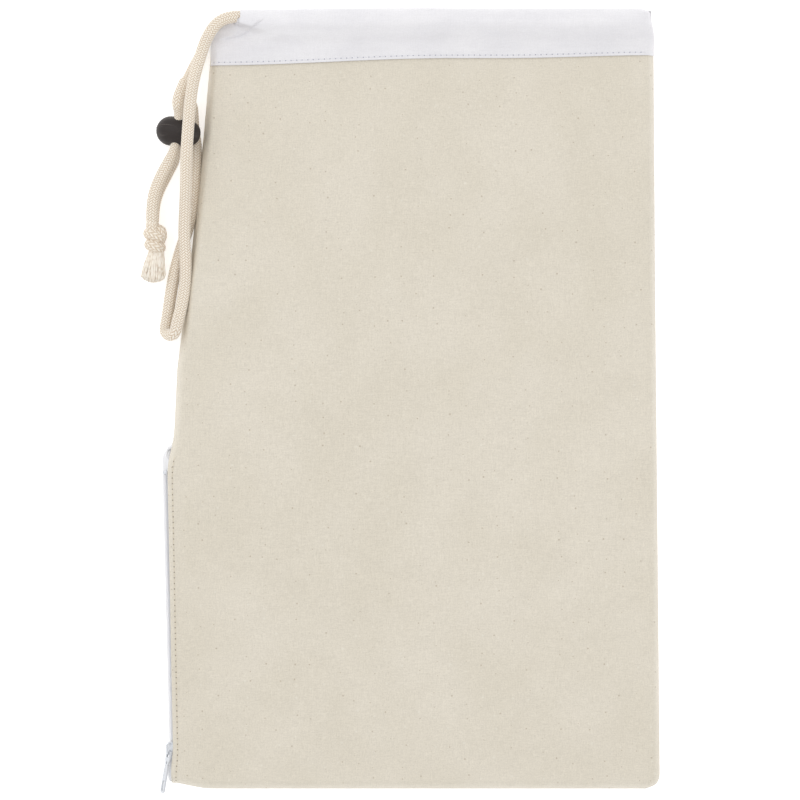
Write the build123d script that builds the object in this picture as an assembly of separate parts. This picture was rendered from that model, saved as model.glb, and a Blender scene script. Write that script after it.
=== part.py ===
from build123d import *
import math
import os

# A flat cotton drawstring laundry bag, lying on its back on a table. Millimetres.
# X runs across the bag, Y from the foot to the mouth, Z up from the table.
# The origin is on the underside of the back panel, near its middle.

# Cloth
CANVAS = 0.6
BAND = 0.5
LAP_Y = 195.0
LAP = 6.0
TONGUE = 5.0
FRONT_UNDER_FOOT = 8.6
FRONT_UNDER_LAP = 13.25
FOOT_Y = -225.6
SLOPE_INSET = 16.0
SEAM_Z = 0.6
HEADER_LEFT = -118.6
HEADER_RIGHT = 136.9
THREAD_WIDE = 0.6
THREAD_TALL = 0.3
STITCH_UP = 3.2

# The turned-in edges of the seams
ALLOWANCE = 10.0
ALLOWANCE_THICK = 1.0
SEAM_IN = 2.4

# Drawcord, and its squeezed diameter inside the lock
CORD_R = 3.5
NECK_R = 2.6
CHANNEL_GAP = 0.2
CHANNEL_Y = 219.8
CHANNEL_R = CORD_R + CHANNEL_GAP + BAND
BACK_CORD_Z = CHANNEL_R
MOUTH_GAP = 4.4
FRONT_CORD_Z = 3 * CHANNEL_R + MOUTH_GAP
CHANNEL_LEFT = -99.8
CHANNEL_TURN = 122.0
TURN_INSET = 4.5
NECK_TOP = 167.5
NECK_FOOT = 138.2

# Knot and the two tails below it
KNOT_TOP = 99.5
KNOT_FOOT = 84.0
KNOT_LEFT = -156.9
KNOT_RIGHT = -144.4
KNOT_LOW = 0.1
KNOT_HIGH = 14.3
TAIL_FOOT = 66.2
TAIL_R = 3.4
TAIL_FOOT_R = 4.3

# Zip: the chain is a straight line, and its face looks out to -X and a little up
ZIP_TILT = 35.0
CHAIN_Z = 4.6
CHAIN_FOOT = (-139.5, -221.0)
CHAIN_HEAD = (-144.0, -40.0)
TAPE_FOOT_FRONT = -213.0
TAPE_FOOT_BACK = -219.0
TAPE = 0.5
TAPE_REACH = 13.0
FRONT_EDGE_HEAD = 0.3
FRONT_EDGE_FOOT = 0.7
BACK_EDGE_OUT = 2.2
COIL_START = 12.5
COIL_STOP = 3.5
STOP_HEAD = 2.6
STOP_FOOT = 11.6
STOP_HALF = 0.9
ZIP_STITCH_IN = 6.0
COIL_GAP = 0.65
COIL_OUT = 2.2
COIL_TALL = 1.1
SLIDER_Y = -202.4
SLIDER_LONG = 8.0
SLIDER_HALF = 3.1
PLATE = 0.6
PLATE_CORNER = 1.4
BRIDGE_HALF = 0.7
PULL_ANGLE = 8.0
PULL_SKEW = -8.0
PULL_LONG = 24.0

# Cord lock: a barrel and a sprung plunger on one axis, with the cord hole across it
LOCK_AT = (-137.0, 153.6, 13.0)
LOCK_LIFT = 12.0
LOCK_TURN = -8.0
LOCK_R = 8.5
LOCK_LEFT = -12.85
LOCK_MOUTH = 7.0
LOCK_BUTTON = 12.85
LOCK_MOUTH_R = 7.3
LOCK_BELLY = (2.2, 8.3)
BUTTON_SHOULDER = 3.4
BUTTON_DOME = (0.75, 4.0)
PLUNGER_R = 6.45
BORE_R = 6.55
PLUNGER_INNER = -4.6
PRESS = 3.2
STRAND_OFF = 2.7
HOLE_HALF = 2.8
HOLE_TALL = 5.4
SPRING_R = 2.9
SPRING_WIRE = 0.3
SPRING_TURNS = 4
SPRING_BACK = -10.6

os.makedirs("parts", exist_ok=True)


def save(shape, node):
    export_step(shape, f"parts/{node}.step")


def front_under(y):
    """Height of the front panel's underside: the bag thins from its mouth to its foot."""
    return FRONT_UNDER_FOOT + (y - FOOT_Y) * (FRONT_UNDER_LAP - FRONT_UNDER_FOOT) / (LAP_Y - FOOT_Y)


def chain_x(y):
    """X of the zip chain's centre at a given Y."""
    share = (y - CHAIN_FOOT[1]) / (CHAIN_HEAD[1] - CHAIN_FOOT[1])
    return CHAIN_FOOT[0] + share * (CHAIN_HEAD[0] - CHAIN_FOOT[0])


def prism(points, low, high):
    """A flat-sided block: a polygon seen from above, between two heights."""
    face = make_face(Polyline(*points, close=True))
    return extrude(Pos(0, 0, low) * face, high - low)


def block(x0, x1, y0, y1, z0, z1):
    return Pos((x0 + x1) / 2, (y0 + y1) / 2, (z0 + z1) / 2) * Box(x1 - x0, y1 - y0, z1 - z0)


def inset(points, distance):
    """The same polygon with every side moved inwards. The points run clockwise."""
    moved = []
    for index, point in enumerate(points):
        before = Vector(*points[index - 1])
        here = Vector(*point)
        after = Vector(*points[(index + 1) % len(points)])
        normal_in = Vector((here - before).Y, -(here - before).X).normalized()
        normal_out = Vector((after - here).Y, -(after - here).X).normalized()
        middle = (normal_in + normal_out).normalized()
        shift = middle * (distance / middle.dot(normal_in))
        moved.append((here.X + shift.X, here.Y + shift.Y))
    return moved


def mound(points, low, rise):
    """A block whose sides lean in at 45 degrees."""
    base = make_face(Polyline(*[(x, y, low) for x, y in points], close=True))
    crown = make_face(Polyline(*[(x, y, low + rise) for x, y in inset(points, rise)], close=True))
    return loft([base, crown], ruled=True)


def above_front(lift):
    """Everything over the front panel's underside plane, raised by lift."""
    y0, y1 = -260.0, 260.0
    side = [(y0, front_under(y0) + lift), (y1, front_under(y1) + lift), (y1, 60.0), (y0, 60.0)]
    face = make_face(Polyline(*[(-200.0, y, z) for y, z in side], close=True))
    return extrude(face, 400.0, dir=(1, 0, 0))


# ---- Panels ----

LEFT_EDGE = [(-139.6, -20.0), (-137.9, 16.0), (-129.4, 86.0), (-122.4, 155.0), (-118.9, 195.0)]
RIGHT_EDGE = [(137.4, 195.0), (138.4, 57.0), (140.6, -176.0)]
FOOT_EDGE = [(141.0, FOOT_Y), (-80.0, FOOT_Y), (-128.0, -224.6)]


def front_panel():
    mouth = [(-117.0, 250.0), (137.0, 250.0)]
    beyond_zip = [(-175.0, -221.4), (-175.0, -20.0)]
    outline = LEFT_EDGE + mouth + RIGHT_EDGE + FOOT_EDGE + beyond_zip
    outer = mound(outline, SEAM_Z, SLOPE_INSET) - above_front(CANVAS)
    slant = CANVAS * math.sqrt(2)
    inner = mound(inset(outline, slant), SEAM_Z, SLOPE_INSET - slant) - above_front(0.0)
    tray = outer - inner - block(-200, 200, LAP_Y + TONGUE, 300, -5, 60)
    tray -= block(-200, 200, LAP_Y, 300, -5, FRONT_UNDER_LAP - 0.01)
    zip_edge = [
        (-139.6, -20.0),
        (chain_x(-46.0) - FRONT_EDGE_HEAD, -46.0),
        (chain_x(-230.0) - FRONT_EDGE_FOOT, -230.0),
        (-200.0, -230.0),
        (-200.0, -20.0),
    ]
    return tray - prism(zip_edge, -5, 60)


def back_panel():
    zip_edge = [(chain_x(y) - BACK_EDGE_OUT, y) for y in (-222.0, CHAIN_HEAD[1])]
    top = [(HEADER_LEFT, LAP_Y + LAP), (137.2, LAP_Y + LAP)]
    outline = LEFT_EDGE + top + RIGHT_EDGE + FOOT_EDGE + zip_edge
    return prism(outline, 0.0, CANVAS)


# ---- Header band with its two channels ----


def hull_prism(round_y, round_z, round_r, flats, x0, x1):
    """The hull of a round and some points in the YZ plane, drawn out along X."""
    plane = Plane(origin=(x0, 0, 0), x_dir=(0, 1, 0), z_dir=(1, 0, 0))
    lines = [Line(first, second) for first, second in zip(flats[:-1], flats[1:])]
    ring = Pos(round_y, round_z) * Circle(round_r)
    return extrude(plane * make_hull(ring.edges() + lines), x1 - x0)


def mouth_cut():
    """What the channel's curved mouth leaves out of the header's upper left corner."""
    corner = [(-130.0, 203.0), (HEADER_LEFT, 203.0), (-113.5, 210.5), (-106.0, 215.0),
              (CHANNEL_LEFT, 215.6), (CHANNEL_LEFT, 235.0), (-130.0, 235.0)]
    return prism(corner, -5, 60)


def turn_cut():
    """The hole near the right-hand fold, where the cord turns from front to back."""
    right = CHANNEL_TURN + FRONT_CORD_Z / 2
    return block(CHANNEL_TURN - 8, right, CHANNEL_Y - 3.7, CHANNEL_Y + 3.7, BACK_CORD_Z, FRONT_CORD_Z)


def header_front():
    low = FRONT_UNDER_LAP - BAND
    top = low + CANVAS + 2 * BAND
    lip = [(LAP_Y + LAP, low), (LAP_Y + LAP, top)]
    hollow = [(LAP_Y + LAP + 1, low + BAND), (LAP_Y + LAP + 1, top - BAND)]
    tube = hull_prism(CHANNEL_Y, FRONT_CORD_Z, CHANNEL_R, lip, HEADER_LEFT, HEADER_RIGHT)
    tube -= hull_prism(CHANNEL_Y, FRONT_CORD_Z, CHANNEL_R - BAND, hollow, -120, 140)
    tube += block(HEADER_LEFT, HEADER_RIGHT, LAP_Y, LAP_Y + LAP, low, top)
    slot = block(-120, 140, LAP_Y - 1, LAP_Y + TONGUE, low + BAND - 0.02, low + BAND + CANVAS + 0.1)
    return tube - slot - mouth_cut() - turn_cut()


def header_back():
    top = CANVAS + BAND
    lip = [(LAP_Y + LAP, 0.0), (LAP_Y + LAP, top)]
    hollow = [(LAP_Y + LAP + 1, BAND), (LAP_Y + LAP + 1, CANVAS)]
    tube = hull_prism(CHANNEL_Y, BACK_CORD_Z, CHANNEL_R, lip, HEADER_LEFT, HEADER_RIGHT)
    tube -= hull_prism(CHANNEL_Y, BACK_CORD_Z, CHANNEL_R - BAND, hollow, -120, 140)
    tube += block(HEADER_LEFT, HEADER_RIGHT, LAP_Y, LAP_Y + LAP, CANVAS, top)
    return tube - mouth_cut() - turn_cut()


def header_stitch(z):
    y = LAP_Y + STITCH_UP
    return block(-116.5, 135.5, y, y + THREAD_WIDE, z, z + THREAD_TALL)


# ---- Seams inside the bag ----


def along(edge, near, far, low, high):
    """A strip beside an edge, from near to far inwards of it. The edge runs clockwise."""
    strip = []
    for distance in (near, far):
        shifted = []
        for index, point in enumerate(edge):
            first = Vector(*edge[max(index - 1, 0)])
            last = Vector(*edge[min(index + 1, len(edge) - 1)])
            normal = Vector((last - first).Y, -(last - first).X).normalized()
            shifted.append((point[0] + normal.X * distance, point[1] + normal.Y * distance))
        strip.append(shifted)
    return prism(strip[0] + strip[1][::-1], low, high)


SEAM_LEFT = [(-139.2, -12.0)] + LEFT_EDGE[1:4] + [(-119.2, 190.0)]
SEAM_RIGHT = [(137.5, 190.0), (138.4, 57.0), (140.6, -176.0), (140.9, -208.0)]
SEAM_FOOT = [(124.0, FOOT_Y), (-80.0, FOOT_Y)]


def seam(edge):
    return along(edge, SEAM_IN, SEAM_IN + ALLOWANCE, SEAM_Z, SEAM_Z + ALLOWANCE_THICK)


def seam_threads():
    low = SEAM_Z + ALLOWANCE_THICK
    near = SEAM_IN + 2.0
    lines = [along(edge, near, near + THREAD_WIDE, low, low + THREAD_TALL)
             for edge in (SEAM_LEFT, SEAM_RIGHT, SEAM_FOOT)]
    return Compound(children=lines)


# ---- Zip ----

ACROSS = Vector(math.sin(math.radians(ZIP_TILT)), 0, math.cos(math.radians(ZIP_TILT)))
OUTWARD = Vector(-math.cos(math.radians(ZIP_TILT)), 0, math.sin(math.radians(ZIP_TILT)))
CHAIN_UP = Vector(CHAIN_HEAD[0] - CHAIN_FOOT[0], CHAIN_HEAD[1] - CHAIN_FOOT[1], 0).normalized()


def on_chain(y, across, outward):
    """A point of the zip's cross-section at a given Y."""
    centre = Vector(chain_x(y), y, CHAIN_Z)
    return centre + ACROSS * across + OUTWARD * outward


def chain_bar(y0, y1, across0, across1, outward0, outward1):
    """A bar along the chain with a rectangular section."""
    ends = []
    for y in (y0, y1):
        corners = [(across0, outward0), (across1, outward0), (across1, outward1), (across0, outward1)]
        ends.append(make_face(Polyline(*[on_chain(y, a, o) for a, o in corners], close=True)))
    return loft(ends, ruled=True)


def ribbon(line, thickness):
    """The outline of a folded strip, from its centre line in one XZ plane."""
    sides = ([], [])
    for index, point in enumerate(line):
        into = (point - line[index - 1]).normalized() if index else None
        out = (line[index + 1] - point).normalized() if index < len(line) - 1 else None
        into, out = into or out, out or into
        normal = (Vector(-into.Z, 0, into.X) + Vector(-out.Z, 0, out.X)).normalized()
        reach = thickness / 2 / normal.dot(Vector(-into.Z, 0, into.X))
        sides[0].append(point + normal * reach)
        sides[1].append(point - normal * reach)
    return make_face(Polyline(*sides[0], *sides[1][::-1], close=True))


def tape(front):
    ends = []
    for y in (TAPE_FOOT_FRONT if front else TAPE_FOOT_BACK, CHAIN_HEAD[1]):
        level = front_under(y) - TAPE / 2 if front else CANVAS + TAPE / 2
        bend = (level - CHAIN_Z) / ACROSS.Z
        start = on_chain(y, math.copysign(COIL_GAP, bend), 0)
        corner = on_chain(y, bend, 0)
        ends.append(ribbon([start, corner, corner + Vector(TAPE_REACH, 0, 0)], TAPE))
    return loft(ends, ruled=True)


def coil(side):
    near, far = sorted((side * COIL_GAP, side * COIL_OUT))
    low = TAPE / 2
    start, stop = CHAIN_FOOT[1] + COIL_START, CHAIN_HEAD[1] - COIL_STOP
    return chain_bar(start, stop, near, far, low, low + COIL_TALL)


def zip_stop(y):
    low = TAPE / 2
    return chain_bar(y - STOP_HALF, y + STOP_HALF, -COIL_OUT, COIL_OUT, low, low + COIL_TALL + 0.15)


def zip_stitch_front():
    y0, y1 = -220.0, -31.0
    edge0, edge1 = chain_x(y0) + 2.3, chain_x(y1) + 3.4
    ends = []
    for x, y in ((edge0, y0), (edge1, y1)):
        z = front_under(y) + CANVAS
        far, top = x + THREAD_WIDE, z + THREAD_TALL
        ends.append(make_face(Polyline((x, y, z), (far, y, z), (far, y, top), (x, y, top), close=True)))
    return loft(ends, ruled=True)


def zip_stitch_back():
    z = CANVAS + TAPE
    y0, y1 = -218.0, -42.0
    x0, x1 = chain_x(y0) + ZIP_STITCH_IN, chain_x(y1) + ZIP_STITCH_IN
    strip = [(x0, y0), (x0 + THREAD_WIDE, y0), (x1 + THREAD_WIDE, y1), (x1, y1)]
    return prism(strip, z, z + THREAD_TALL)


SLIDER_AT = Vector(chain_x(SLIDER_Y), SLIDER_Y, CHAIN_Z)
SLIDER_OUT = (OUTWARD - CHAIN_UP * OUTWARD.dot(CHAIN_UP)).normalized()
# Local X is across the chain, local Y is up the chain, and local Z is outward
SLIDER_PLANE = Plane(origin=SLIDER_AT, x_dir=CHAIN_UP.cross(SLIDER_OUT), z_dir=SLIDER_OUT)
TOP_PLATE = TAPE / 2 + COIL_TALL + 0.2
ARCH_UNDER = TOP_PLATE + PLATE + 2.0
PIVOT_Y = -1.75
PIVOT_Z = TOP_PLATE + PLATE + 1.0


def zip_slider():
    half = SLIDER_LONG / 2
    low = -TAPE / 2 - 0.3
    flange = TAPE / 2 + 0.2
    body = block(-SLIDER_HALF, SLIDER_HALF, -half, half, TOP_PLATE, TOP_PLATE + PLATE)
    body = fillet(body.edges().filter_by(Axis.Z), PLATE_CORNER)
    under = block(-SLIDER_HALF, SLIDER_HALF, -half, half, low - PLATE, low)
    under = fillet(under.edges().filter_by(Axis.Z), PLATE_CORNER)
    body += under
    body += block(-0.45, 0.45, -half + 0.3, -half + 2.4, low, TOP_PLATE)
    for side in (-1, 1):
        edge = side * (SLIDER_HALF - 0.25)
        body += Pos(edge, 0, (flange + TOP_PLATE) / 2) * Box(0.5, half, TOP_PLATE - flange)
    plate_top = TOP_PLATE + PLATE
    arch = block(-BRIDGE_HALF, BRIDGE_HALF, -3.2, 3.2, plate_top, ARCH_UNDER + 0.8)
    arch = fillet(arch.edges().filter_by(Axis.X).sort_by(Axis.Z)[-2:], 1.2)
    arch -= block(-1, 1, -2.6, 2.6, plate_top, ARCH_UNDER)
    return SLIDER_PLANE * (body + arch)


def zip_pull():
    """A slim slotted tab whose eye goes round the foot of the slider's bridge."""
    bar = Rot(0, 90, 0) * Cylinder(0.6, 4.4)
    eye_far, neck = -4.2, -7.6
    outline = [(-2.2, 0), (2.2, 0), (2.2, eye_far), (1.3, neck), (1.75, neck - 2.4),
               (1.75, -PULL_LONG + 1.0), (0.9, -PULL_LONG), (-0.9, -PULL_LONG),
               (-1.75, -PULL_LONG + 1.0), (-1.75, neck - 2.4), (-1.3, neck), (-2.2, eye_far)]
    plate = prism(outline, -0.5, 0.5)
    plate -= block(-1.25, 1.25, -3.1, 0, -1, 1)
    plate -= Pos(0, -6.3, 0) * extrude(SlotCenterToCenter(0.9, 0.9, rotation=90), 2, both=True)
    plate -= Pos(0, -PULL_LONG + 4.4, 0) * extrude(SlotCenterToCenter(4.6, 1.7, rotation=90), 2, both=True)
    tilt = Rot(-PULL_ANGLE, 0, 0) * Rot(0, 0, PULL_SKEW)
    return SLIDER_PLANE * (Pos(0, PIVOT_Y, PIVOT_Z) * (tilt * (plate + bar)))


# ---- Cord lock ----

LOCK_X = Vector(1, 0, 0).rotate(Axis.Y, -LOCK_LIFT).rotate(Axis.Z, LOCK_TURN)
LOCK_Z = Vector(0, 0, 1).rotate(Axis.Y, -LOCK_LIFT).rotate(Axis.Z, LOCK_TURN)
# Local X is the plunger's axis towards its button, and local Y runs along the cord hole
LOCK_PLANE = Plane(origin=LOCK_AT, x_dir=LOCK_X, z_dir=LOCK_Z)


def turned(line):
    """A solid of revolution about the lock's X axis, from its closed outline."""
    return revolve(make_face(line), Axis.X, 360)


def cord_hole(x0, x1):
    """An oblong hole along Y for two strands that lie one over the other."""
    width = x1 - x0
    tall = 2 * HOLE_TALL
    side = width / 2 - 0.01
    shape = RectangleRounded(width, tall, min(side, 2.75))
    return Pos((x0 + x1) / 2, 0, 0) * (Rot(90, 0, 0) * extrude(shape, 30, both=True))


def lock_barrel():
    centre = LOCK_LEFT + LOCK_R
    slant = LOCK_R * math.sqrt(0.5)
    shell = Curve() + [
        Line((LOCK_LEFT, 0), (LOCK_MOUTH, 0)),
        Line((LOCK_MOUTH, 0), (LOCK_MOUTH, LOCK_MOUTH_R)),
        ThreePointArc((LOCK_MOUTH, LOCK_MOUTH_R), LOCK_BELLY, (centre, LOCK_R)),
        ThreePointArc((centre, LOCK_R), (centre - slant, slant), (LOCK_LEFT, 0)),
    ]
    barrel = turned(shell)
    bore_end = PLUNGER_INNER - PRESS - 0.4
    barrel -= Pos((bore_end + LOCK_MOUTH + 1) / 2, 0, 0) * (
        Rot(0, 90, 0) * Cylinder(BORE_R, LOCK_MOUTH + 1 - bore_end))
    barrel -= Pos((SPRING_BACK + bore_end) / 2, 0, 0) * (
        Rot(0, 90, 0) * Cylinder(SPRING_R + 0.7, bore_end - SPRING_BACK))
    return LOCK_PLANE * (barrel - cord_hole(-HOLE_HALF, HOLE_HALF))


def lock_plunger():
    shoulder = LOCK_BUTTON - BUTTON_SHOULDER
    dome = (LOCK_BUTTON - BUTTON_DOME[0], BUTTON_DOME[1])
    outline = Curve() + [
        Line((PLUNGER_INNER, 0), (LOCK_BUTTON, 0)),
        ThreePointArc((LOCK_BUTTON, 0), dome, (shoulder, PLUNGER_R)),
        Line((shoulder, PLUNGER_R), (PLUNGER_INNER, PLUNGER_R)),
        Line((PLUNGER_INNER, PLUNGER_R), (PLUNGER_INNER, 0)),
    ]
    return LOCK_PLANE * (turned(outline) - cord_hole(-HOLE_HALF, HOLE_HALF + PRESS))


def lock_spring():
    length = PLUNGER_INNER - SPRING_BACK - 2 * SPRING_WIRE
    pitch = length / SPRING_TURNS
    path = Helix(pitch, length, SPRING_R)
    start = Plane(origin=path @ 0, z_dir=path % 0)
    wire = sweep(start * Circle(SPRING_WIRE), path=path, is_frenet=True)
    return LOCK_PLANE * (Pos(SPRING_BACK + SPRING_WIRE, 0, 0) * (Rot(0, 90, 0) * wire))


# ---- Drawcord ----


def in_lock(along_hole, off):
    """A point of a strand inside the lock's hole."""
    local = Vector(0, along_hole, off)
    placed = LOCK_PLANE.from_local_coords(local)
    return (placed.X, placed.Y, placed.Z)


RUN_RIGHT = CHANNEL_TURN + FRONT_CORD_Z / 2 - TURN_INSET
CHANNEL_RUN = [
    (CHANNEL_LEFT, CHANNEL_Y, FRONT_CORD_Z),
    (RUN_RIGHT, CHANNEL_Y, FRONT_CORD_Z),
    (RUN_RIGHT, CHANNEL_Y, BACK_CORD_Z),
    (CHANNEL_LEFT, CHANNEL_Y, BACK_CORD_Z),
]

# From the back channel's mouth, under the other end, through the lock to the knot
SHORT_END = [
    (CHANNEL_LEFT, CHANNEL_Y, BACK_CORD_Z),
    (-109.0, CHANNEL_Y, BACK_CORD_Z),
    (-116.5, 214.2, 4.0),
    (-121.5, 205.0, 4.2),
    (-126.4, 196.0, 5.8),
    (-130.7, 187.2, 10.2),
    (-134.8, 178.5, 15.6),
    (-137.4, 170.5, 18.2),
    in_lock(10.0, STRAND_OFF),
    in_lock(-10.0, STRAND_OFF),
    (-141.6, 137.5, 14.5),
    (-146.6, 129.0, 12.4),
    (-150.8, 119.5, 11.1),
    (-152.3, 109.5, 10.8),
    (-152.3, 99.5, 10.8),
]

# From the front channel's mouth, over the lock, down round the loop, up under the lock's
# end, through a tight fold beside it, and down through the lock to the knot
LONG_END = [
    (CHANNEL_LEFT, CHANNEL_Y, FRONT_CORD_Z),
    (-108.0, CHANNEL_Y, FRONT_CORD_Z),
    (-115.4, 215.6, 17.6),
    (-120.6, 207.2, 18.6),
    (-124.2, 196.2, 20.2),
    (-127.9, 182.8, 23.2),
    (-129.8, 169.0, 26.2),
    (-130.9, 154.0, 26.4),
    (-132.0, 138.5, 25.6),
    (-132.2, 124.0, 20.2),
    (-133.0, 108.5, 15.0),
    (-133.7, 94.0, 12.4),
    (-132.7, 79.0, 10.6),
    (-133.0, 66.0, 9.4),
    (-134.8, 54.5, 10.2),
    (-137.4, 44.5, 11.6),
    (-139.0, 36.4, 12.4),
    (-145.4, 37.0, 3.8),
    (-143.4, 48.0, 3.7),
    (-141.9, 59.0, 3.7),
    (-139.9, 70.5, 3.7),
    (-136.8, 83.0, 3.7),
    (-132.6, 95.5, 3.8),
    (-129.3, 107.5, 4.0),
    (-128.0, 120.0, 4.0),
    (-127.2, 134.0, 3.7),
    (-127.2, 148.0, 3.6),
    (-128.0, 160.0, 3.6),
    (-128.6, 171.0, 3.7),
    (-133.9, 172.0, 10.5),
    in_lock(10.0, -STRAND_OFF),
    in_lock(-10.0, -STRAND_OFF),
    (-139.8, 137.0, 7.0),
    (-144.2, 129.0, 4.4),
    (-149.2, 119.5, 3.8),
    (-151.9, 109.5, 3.7),
    (-151.9, 99.5, 3.7),
]


def arc_radii(points):
    """The largest arc at each corner that leaves both of its runs some straight length."""
    radii = []
    for before, here, after in zip(points[:-2], points[1:-1], points[2:]):
        first, second = Vector(*here) - Vector(*before), Vector(*after) - Vector(*here)
        turn = math.radians(first.get_angle(second))
        radii.append(0.45 * min(first.length, second.length) / math.tan(turn / 2))
    return radii


def swept(path, radius):
    return sweep(Plane(origin=path @ 0, z_dir=path % 0) * Circle(radius), path=path)


def share_at(path, y):
    """How far along a path it last comes down past a height Y, from 0 to 1."""
    share = 1.0
    while (path @ share).Y < y:
        share -= 0.0005
    return share


def cord(name, points, necks=()):
    """A cord along its route, thinner between pairs of Y heights where the lock squeezes it."""
    radii = arc_radii(points)
    path = Wire(FilletPolyline(*points, radius=radii).edges())
    marks = [0.0] + [share_at(path, y) for y in necks] + [1.0]
    solid, expected = None, 0.0
    for index, (start, end) in enumerate(zip(marks[:-1], marks[1:])):
        radius = NECK_R if index % 2 else CORD_R
        piece = path.trim(start, end) if necks else path
        stretch = swept(piece, radius)
        expected += piece.length * math.pi * radius ** 2
        solid = stretch if solid is None else solid + stretch
    print(name, "length", round(path.length, 1), "volume share", round(solid.volume / expected, 4))
    print("  radii", [round(radius, 1) for radius in radii])
    return solid


def cord_knot():
    knot = block(KNOT_LEFT, KNOT_RIGHT, KNOT_FOOT, KNOT_TOP, KNOT_LOW, KNOT_HIGH)
    return fillet(knot.edges(), 3.0)


def cord_tails():
    """The two ends below the knot: they flare and lie side by side."""
    tails = None
    for start, end in (((-150.4, 3.8), (-155.0, 4.5)), ((-150.0, 9.6), (-149.2, 5.0))):
        rings = []
        for (x, z), y, radius in ((start, KNOT_FOOT, TAIL_R), (end, TAIL_FOOT, TAIL_FOOT_R)):
            rings.append(Plane(origin=(x, y, z), x_dir=(1, 0, 0), z_dir=(0, -1, 0)) * Circle(radius))
        tail = loft(rings)
        tails = tail if tails is None else tails + tail
    return tails


PARTS = {
    "front_panel": front_panel,
    "back_panel": back_panel,
    "header_front": header_front,
    "header_back": header_back,
    "header_stitch_front": lambda: header_stitch(FRONT_UNDER_LAP + CANVAS + BAND),
    "header_stitch_back": lambda: header_stitch(CANVAS + BAND),
    "left_seam_allowance": lambda: seam(SEAM_LEFT),
    "right_seam_allowance": lambda: seam(SEAM_RIGHT),
    "foot_seam_allowance": lambda: seam(SEAM_FOOT),
    "seam_threads": seam_threads,
    "zip_tape_front": lambda: tape(True),
    "zip_tape_back": lambda: tape(False),
    "zip_coil_front": lambda: coil(1),
    "zip_coil_back": lambda: coil(-1),
    "zip_stop_head": lambda: zip_stop(CHAIN_HEAD[1] - STOP_HEAD),
    "zip_stop_foot": lambda: zip_stop(CHAIN_FOOT[1] + STOP_FOOT),
    "zip_stitch_front": zip_stitch_front,
    "zip_stitch_back": zip_stitch_back,
    "zip_slider": zip_slider,
    "zip_pull": zip_pull,
    "lock_barrel": lock_barrel,
    "lock_plunger": lock_plunger,
    "lock_spring": lock_spring,
    "drawcord_channel_run": lambda: cord("channel run", CHANNEL_RUN),
    "drawcord_short_end": lambda: cord("short end", SHORT_END, (NECK_TOP, NECK_FOOT)),
    "drawcord_long_end": lambda: cord("long end", LONG_END, (NECK_TOP, NECK_FOOT)),
    "cord_knot": cord_knot,
    "cord_tails": cord_tails,
}

for node, make in PARTS.items():
    save(make(), node)
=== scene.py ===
import math

import bpy
import numpy as np
from mathutils import Euler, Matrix, Vector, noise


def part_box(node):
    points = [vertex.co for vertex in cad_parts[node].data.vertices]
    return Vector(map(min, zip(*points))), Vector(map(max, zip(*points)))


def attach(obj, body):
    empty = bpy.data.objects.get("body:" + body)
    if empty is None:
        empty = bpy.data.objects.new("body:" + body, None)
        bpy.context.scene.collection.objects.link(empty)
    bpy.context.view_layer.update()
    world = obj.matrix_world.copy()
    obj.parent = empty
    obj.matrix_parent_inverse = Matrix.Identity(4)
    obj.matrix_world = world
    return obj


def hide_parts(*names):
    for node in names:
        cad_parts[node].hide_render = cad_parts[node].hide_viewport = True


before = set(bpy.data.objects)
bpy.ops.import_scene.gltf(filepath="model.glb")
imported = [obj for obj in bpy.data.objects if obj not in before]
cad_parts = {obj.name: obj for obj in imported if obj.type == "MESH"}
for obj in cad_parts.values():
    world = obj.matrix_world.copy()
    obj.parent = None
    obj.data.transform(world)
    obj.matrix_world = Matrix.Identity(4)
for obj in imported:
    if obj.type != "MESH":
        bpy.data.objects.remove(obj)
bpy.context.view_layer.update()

# A drawstring laundry bag lying flat. Metres, in the frame's own axes: X across the bag,
# Y from its foot to its mouth, Z up from the table.

MM = 0.001


def middle(node):
    low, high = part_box(node)
    return (low + high) / 2


# ---- Driving sizes, from the frame ----

BACK_LOW, BACK_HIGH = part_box("back_panel")
BAND_LOW, BAND_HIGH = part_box("header_front")
FOOT_Y = BACK_LOW.y
LAP_Y = BAND_LOW.y
LAP_TOP_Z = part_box("front_panel")[1].z
FOOT_TOP_Z = 9.2 * MM
SEAM_Z = 1.0 * MM
SLOPE = 4.5 * MM
CANVAS = 0.6 * MM
BAND = 0.5 * MM
CORNER_R = 8 * MM
CHANNEL_MOUTH_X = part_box("drawcord_channel_run")[0].x
CORD_R = 3.5 * MM
NECK_R = 2.65 * MM
STITCH = 3.2 * MM
ZIP_HEAD_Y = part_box("zip_tape_front")[1].y
STOP_OUTWARD = 0.72 * MM


def corner_profile(side):
    """(Y values, X values) of the back panel's corners on one side, up its height."""
    corners = {}
    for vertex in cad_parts["back_panel"].data.vertices:
        x, y = vertex.co.x, round(vertex.co.y, 5)
        if x * side > 0.1:
            corners[y] = max(corners.get(y, 0.0), abs(x))
    heights = sorted(corners)
    return np.array(heights), np.array([side * corners[y] for y in heights])


LEFT_Y, LEFT_X = corner_profile(-1)
RIGHT_Y, RIGHT_X = corner_profile(1)
ZIP_HEAD, ZIP_FOOT = middle("zip_stop_head"), middle("zip_stop_foot")


def smooth(value, low, high):
    """0 below low, 1 above high, and a smooth step between them."""
    t = np.clip((value - low) / (high - low), 0, 1)
    return t * t * (3 - 2 * t)


def chain_x(y):
    """X of the zip chain's centre."""
    share = (y - ZIP_FOOT.y) / (ZIP_HEAD.y - ZIP_FOOT.y)
    return ZIP_FOOT.x + STOP_OUTWARD + share * (ZIP_HEAD.x - ZIP_FOOT.x)


def ripple(x, y, size, seed):
    """Smooth noise from -1 to 1 over a sheet."""
    x, y = np.broadcast_arrays(x, y)
    flat = [noise.noise(Vector((a / size, b / size, seed))) for a, b in zip(x.ravel(), y.ravel())]
    return np.array(flat).reshape(x.shape)


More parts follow.
